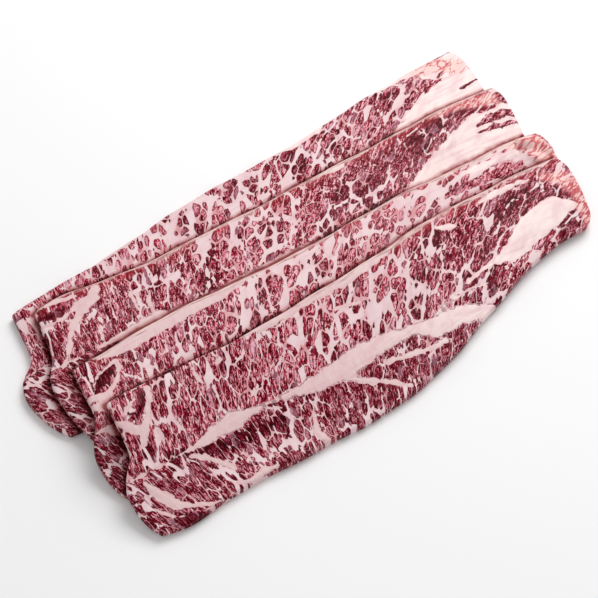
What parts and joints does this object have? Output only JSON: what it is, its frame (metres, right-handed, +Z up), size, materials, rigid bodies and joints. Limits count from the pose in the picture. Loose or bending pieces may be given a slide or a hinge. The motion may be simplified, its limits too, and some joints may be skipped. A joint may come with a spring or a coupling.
{
  "type": "raw sliced denver steak",
  "caption": "Raw, heavily marbled beef cut into long thin slices of two muscles joined by a seam of fat, lying overlapped like roof tiles.",
  "frame": {"origin": "middle of the bottom of the slices' bounding box, on the surface that they lie on", "axes": "+X along the slices towards their narrow ends, +Y towards the back slice, which lies lowest, +Z up"},
  "size_m": [0.2813, 0.159, 0.0239],
  "materials": {
    "marbled_beef": "moist satin"
  },
  "bodies": {
    "root": {"slice_back": "marbled_beef", "slice_second": "marbled_beef", "slice_third": "marbled_beef", "slice_front": "marbled_beef"}
  },
  "joints": []
}
